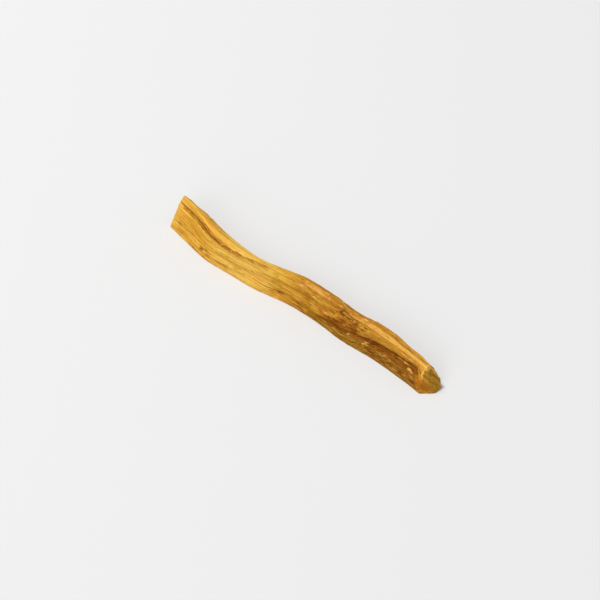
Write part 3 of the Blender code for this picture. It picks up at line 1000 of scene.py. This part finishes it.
# The ragged stains as they lie on each other, first those under the resin, then those over it, and last
# the specks: the stored number, the pattern that breaks it up, its full share and its colour. The
# olive and umber strips are partly painted shade, the crack's stain is painted shade, the crest's is a
# painted highlight, and the specks are partly painted shade and highlights.
STAINS = (
    ("orange", "mottle", 0.6, ORANGE),
    ("olive", "mottle", 0.7, OLIVE_GOLD),
    ("umber_strip_shade", "mottle", 0.85, UMBER_SHADE_BROWN),
    ("olive_strip_shade", "mottle", 0.9, OLIVE),
    ("knot", "mottle", 0.8, KNOT_BROWN),
)
OVER_RESIN = (("groove_shade", "fray", 0.85, GROOVE_SHADE_BROWN), ("crest_highlight", "mottle", 0.7, PALE_AND_HIGHLIGHT_AMBER))
SPECKS = (("dark_speck_and_shade", "fray", 0.85, SPECK_AND_SHADE_BROWN), ("light_speck_and_highlight", "fray", 0.75, PALE_AND_HIGHLIGHT_AMBER))

# The full shares of the resin, with its painted shade, and of the cuts' own colour, the shares of the
# growth layers and of the blotches in the gold and amber, and the share of the pale hairs that resin
# hides
RESIN_SHARE = 0.95
END_SHARE = 0.88
BAND_SHARE = 0.55
BLOTCH_SHARE = 0.45
RESIN_COVER = 0.6

# The surface: how rough it is where the fibres are low and high, how much smoother resin is, its
# gloss, and the height of fibres, hairs and pores in its bumps, with the bumps' depth in metres
ROUGH_RANGE = (0.2, 0.8, 0.55, 0.75)
RESIN_SHINE = -0.06
GLOSS = 0.05
FIBRE_BUMP = 0.6
HAIR_BUMP = 0.4
PORE_BUMP = (0.62, 0.76, 0.0, 0.5)
BUMP_STRENGTH = 0.9
BUMP_DEPTH = 0.00006

# The sockets of a mix node for its share and its two colours, and for the outcome
MIX_INPUTS = (0, 6, 7)
MIX_OUTPUT = 2


def connect(tree, value, socket):
    """Links a value to a socket, or sets it where it is a plain number or colour."""
    if isinstance(value, bpy.types.NodeSocket):
        tree.links.new(value, socket)
    else:
        socket.default_value = value


def fact(tree, name):
    """Returns one of the numbers stored for each vertex."""
    made = tree.nodes.new("ShaderNodeAttribute")
    made.attribute_name = name
    return made.outputs["Fac"]


def maths(tree, operation, first, second=0.0):
    """Returns the outcome of a sum on one or two values."""
    made = tree.nodes.new("ShaderNodeMath")
    made.operation = operation
    connect(tree, first, made.inputs[0])
    connect(tree, second, made.inputs[1])
    return made.outputs[0]


def remap(tree, value, low, high, to_low=0.0, to_high=1.0):
    """Returns a value moved from one range to another, with a smooth way and no overshoot."""
    made = tree.nodes.new("ShaderNodeMapRange")
    made.interpolation_type = "SMOOTHSTEP"
    for socket, number in zip(made.inputs, (value, low, high, to_low, to_high)):
        connect(tree, number, socket)
    return made.outputs[0]


def noise_texture(tree, place, scale, detail, roughness):
    """Returns noise read at the place that a node puts together."""
    made = tree.nodes.new("ShaderNodeTexNoise")
    tree.links.new(place.outputs[0], made.inputs["Vector"])
    made.inputs["Scale"].default_value = scale
    made.inputs["Detail"].default_value = detail
    made.inputs["Roughness"].default_value = roughness
    return made.outputs["Fac"]


def streaks(tree, along, across, detail, roughness):
    """Returns noise drawn out along the grain, with so many steps a millimetre along and across."""
    place = tree.nodes.new("ShaderNodeCombineXYZ")
    for name, steps, socket in zip(("along", "wide", "high"), (along, across, across), place.inputs):
        tree.links.new(maths(tree, "MULTIPLY", fact(tree, name), steps), socket)
    return noise_texture(tree, place, 1.0, detail, roughness)


def mix(tree, share, first, second, blend="MIX"):
    """Returns the first colour with a share of the second mixed in."""
    made = tree.nodes.new("ShaderNodeMix")
    made.data_type = "RGBA"
    made.blend_type = blend
    for number, value in zip(MIX_INPUTS, (share, first, second)):
        connect(tree, value, made.inputs[number])
    return made.outputs[MIX_OUTPUT]


def ragged(tree, name, pattern, share):
    """Returns a stored number times its full share, broken up by a pattern."""
    broken = maths(tree, "MULTIPLY", fact(tree, name), remap(tree, pattern, *STAIN_BREAK))
    return remap(tree, broken, *STAIN_RANGE, 0.0, share)


def lay_stains(tree, colour, rows, patterns):
    """Returns a colour with ragged stains laid on it."""
    for name, pattern, share, stain in rows:
        colour = mix(tree, ragged(tree, name, patterns[pattern], share), colour, stain)
    return colour


def growth_layers(tree):
    """Returns light and dark bands at uneven distances from the pith."""
    squares = []
    for name, centre in zip(("wide", "high"), PITH):
        away = maths(tree, "SUBTRACT", fact(tree, name), centre)
        squares.append(maths(tree, "MULTIPLY", away, away))
    distance = maths(tree, "SQRT", maths(tree, "ADD", *squares))
    waver = maths(tree, "MULTIPLY", streaks(tree, *BAND_WAVE), BAND_WAVER)
    place = tree.nodes.new("ShaderNodeCombineXYZ")
    tree.links.new(maths(tree, "ADD", distance, waver), place.inputs[0])
    return noise_texture(tree, place, *BAND_NOISE)


def wood_colour(tree, fibres, hairs, pores, resin_and_shade):
    """Returns the colour of split heartwood, from its grain and from what lies where, with painted
    shade in hollows, pits, the crack and the recess, and painted highlights on ridges and edges.
    """
    bands = growth_layers(tree)
    patterns = {"mottle": streaks(tree, *MOTTLE), "fray": streaks(tree, *FRAY)}
    blotches = maths(tree, "MULTIPLY", streaks(tree, *BLOTCHES), BLOTCH_SHARE)
    blend = maths(tree, "ADD", maths(tree, "MULTIPLY", bands, BAND_SHARE), blotches)
    colour = mix(tree, remap(tree, blend, *AMBER_RANGE), GOLD, AMBER)
    colour = mix(tree, remap(tree, bands, *HONEY_RANGE), colour, HONEY)
    tone = fact(tree, "tone")
    colour = mix(tree, remap(tree, tone, *PALE_RANGE), colour, PALE)
    tone = maths(tree, "MULTIPLY", tone, remap(tree, patterns["mottle"], *TONE_BREAK))
    colour = mix(tree, tone, colour, RUSSET)
    # The olive and umber strips paint shade on the lower face as well as wood colour
    colour = lay_stains(tree, colour, STAINS, patterns)
    # Resin with painted shade under the ledge's lip
    colour = mix(tree, resin_and_shade, colour, RESIN_AND_SHADE_BROWN)
    # Painted shade in the crack's groove, and a painted highlight on the crest
    colour = lay_stains(tree, colour, OVER_RESIN, patterns)
    colour = mix(tree, remap(tree, fibres, *FIBRE_RANGE), colour, DEEP, "MULTIPLY")
    bare = maths(tree, "SUBTRACT", 1.0, maths(tree, "MULTIPLY", resin_and_shade, RESIN_COVER))
    light = maths(tree, "MULTIPLY", remap(tree, hairs, *HAIR_RANGE), bare)
    colour = mix(tree, light, colour, PALE)
    # Painted shade: hollows are darkened. Painted highlight: proud ridges and splinters are lightened.
    hollow = fact(tree, "hollow")
    colour = mix(tree, remap(tree, hollow, *HOLLOW_SHADE_RANGE), colour, DARK)
    colour = mix(tree, remap(tree, hollow, *PROUD_HIGHLIGHT_RANGE), colour, PALE)

    cut = fact(tree, "cut")
    rings = mix(tree, remap(tree, bands, *END_RING_RANGE), END_BROWN, END_DARK)
    rings = mix(tree, remap(tree, streaks(tree, *END_CLOUDS), *END_OLIVE_RANGE), rings, OLIVE)
    colour = mix(tree, maths(tree, "MULTIPLY", cut, END_SHARE), colour, rings)
    dots = remap(tree, streaks(tree, *END_GRAIN), *END_DOT_RANGE)
    colour = mix(tree, maths(tree, "MULTIPLY", cut, dots), colour, DARK)

    colour = mix(tree, remap(tree, fact(tree, "corner"), *CORNER_RANGE), colour, CORNER_BROWN)
    # Painted shade in pits
    colour = mix(tree, remap(tree, fact(tree, "pit_shade"), *PIT_SHADE_RANGE), colour, SPECK_AND_SHADE_BROWN)
    # Specks: partly painted shade in pits and painted highlights on lumps
    colour = lay_stains(tree, colour, SPECKS, patterns)
    return mix(tree, remap(tree, pores, *PORE_RANGE), colour, DARK)


def wood_material():
    """Makes amber split heartwood: growth layers, fibres, pores, resinous stains, painted shade in
    hollows and painted highlights on ridges.
    """
    material = bpy.data.materials.new("split_heartwood")
    material.use_nodes = True
    tree = material.node_tree
    shader = tree.nodes["Principled BSDF"]
    fibres = streaks(tree, *FIBRES)
    hairs = streaks(tree, *HAIRS)
    pores = streaks(tree, *PORES)
    resin_and_shade = ragged(tree, "resin_and_shade", fibres, RESIN_SHARE)
    tree.links.new(wood_colour(tree, fibres, hairs, pores, resin_and_shade), shader.inputs["Base Color"])

    shine = maths(tree, "MULTIPLY", resin_and_shade, RESIN_SHINE)
    roughness = maths(tree, "ADD", remap(tree, fibres, *ROUGH_RANGE), shine)
    tree.links.new(roughness, shader.inputs["Roughness"])
    shader.inputs["Specular IOR Level"].default_value = GLOSS

    height = maths(tree, "MULTIPLY", fibres, FIBRE_BUMP)
    height = maths(tree, "ADD", height, maths(tree, "MULTIPLY", hairs, HAIR_BUMP))
    height = maths(tree, "SUBTRACT", height, remap(tree, pores, *PORE_BUMP))
    bump = tree.nodes.new("ShaderNodeBump")
    tree.links.new(height, bump.inputs["Height"])
    bump.inputs["Strength"].default_value = BUMP_STRENGTH
    bump.inputs["Distance"].default_value = BUMP_DEPTH
    tree.links.new(bump.outputs[0], shader.inputs["Normal"])
    return material


def make_stick():
    """Makes the whole stick as one closed mesh, and the fibres that stand off its edges."""
    rings, places, facts = stick_surface()
    closed, whole = add_ends(rings, facts)
    middle = 0.5 * (rings.min(axis=(0, 1)) + rings.max(axis=(0, 1)))[:2]
    material = wood_material()
    closed[..., :2] -= middle
    faces = tube_faces(*closed.shape[:2])
    stick = make_piece("split_stick", closed, faces, whole, material, STICK_SHARP)
    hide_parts(NODE)
    make_splinters(rings, places, facts, middle, material)


def make_floor():
    """Makes the plain pale floor."""
    bpy.ops.mesh.primitive_plane_add(size=FLOOR_SIZE)
    floor = bpy.context.object
    floor.name = "floor"
    material = bpy.data.materials.new("pale_floor")
    material.use_nodes = True
    shader = material.node_tree.nodes["Principled BSDF"]
    shader.inputs["Base Color"].default_value = FLOOR_GREY
    shader.inputs["Roughness"].default_value = FLOOR_ROUGHNESS
    floor.data.materials.append(material)


def make_light(name, location, size, power):
    """Makes a round soft lamp that faces the stick."""
    light = bpy.data.lights.new(name, "AREA")
    light.shape = "DISK"
    light.size = size
    light.energy = power
    lamp = bpy.data.objects.new(name, light)
    lamp.location = location
    lamp.rotation_euler = (-Vector(location)).to_track_quat("-Z", "Y").to_euler()
    bpy.context.scene.collection.objects.link(lamp)


def make_lights():
    """Makes the lamps and the even light from all round."""
    make_light("key", *KEY_LIGHT)
    make_light("fill", *FILL_LIGHT)
    world = bpy.data.worlds.new("studio")
    world.use_nodes = True
    background = world.node_tree.nodes["Background"]
    background.inputs["Color"].default_value = WHITE
    background.inputs["Strength"].default_value = EVEN_LIGHT
    bpy.context.scene.world = world
    bpy.context.scene.view_settings.view_transform = "Standard"


def make_camera():
    """Makes the camera at the photograph's angle."""
    level = math.cos(CAMERA_ELEVATION)
    x = math.sin(CAMERA_AZIMUTH) * level
    y = -math.cos(CAMERA_AZIMUTH) * level
    back = Vector((x, y, math.sin(CAMERA_ELEVATION)))
    data = bpy.data.cameras.new("camera")
    data.lens = CAMERA_LENS
    data.sensor_width = CAMERA_SENSOR
    camera = bpy.data.objects.new("camera", data)
    camera.location = Vector(CAMERA_TARGET) + back * CAMERA_DISTANCE
    camera.rotation_euler = (-back).to_track_quat("-Z", "Y").to_euler()
    bpy.context.scene.collection.objects.link(camera)
    bpy.context.scene.camera = camera


make_stick()
make_floor()
make_lights()
make_camera()
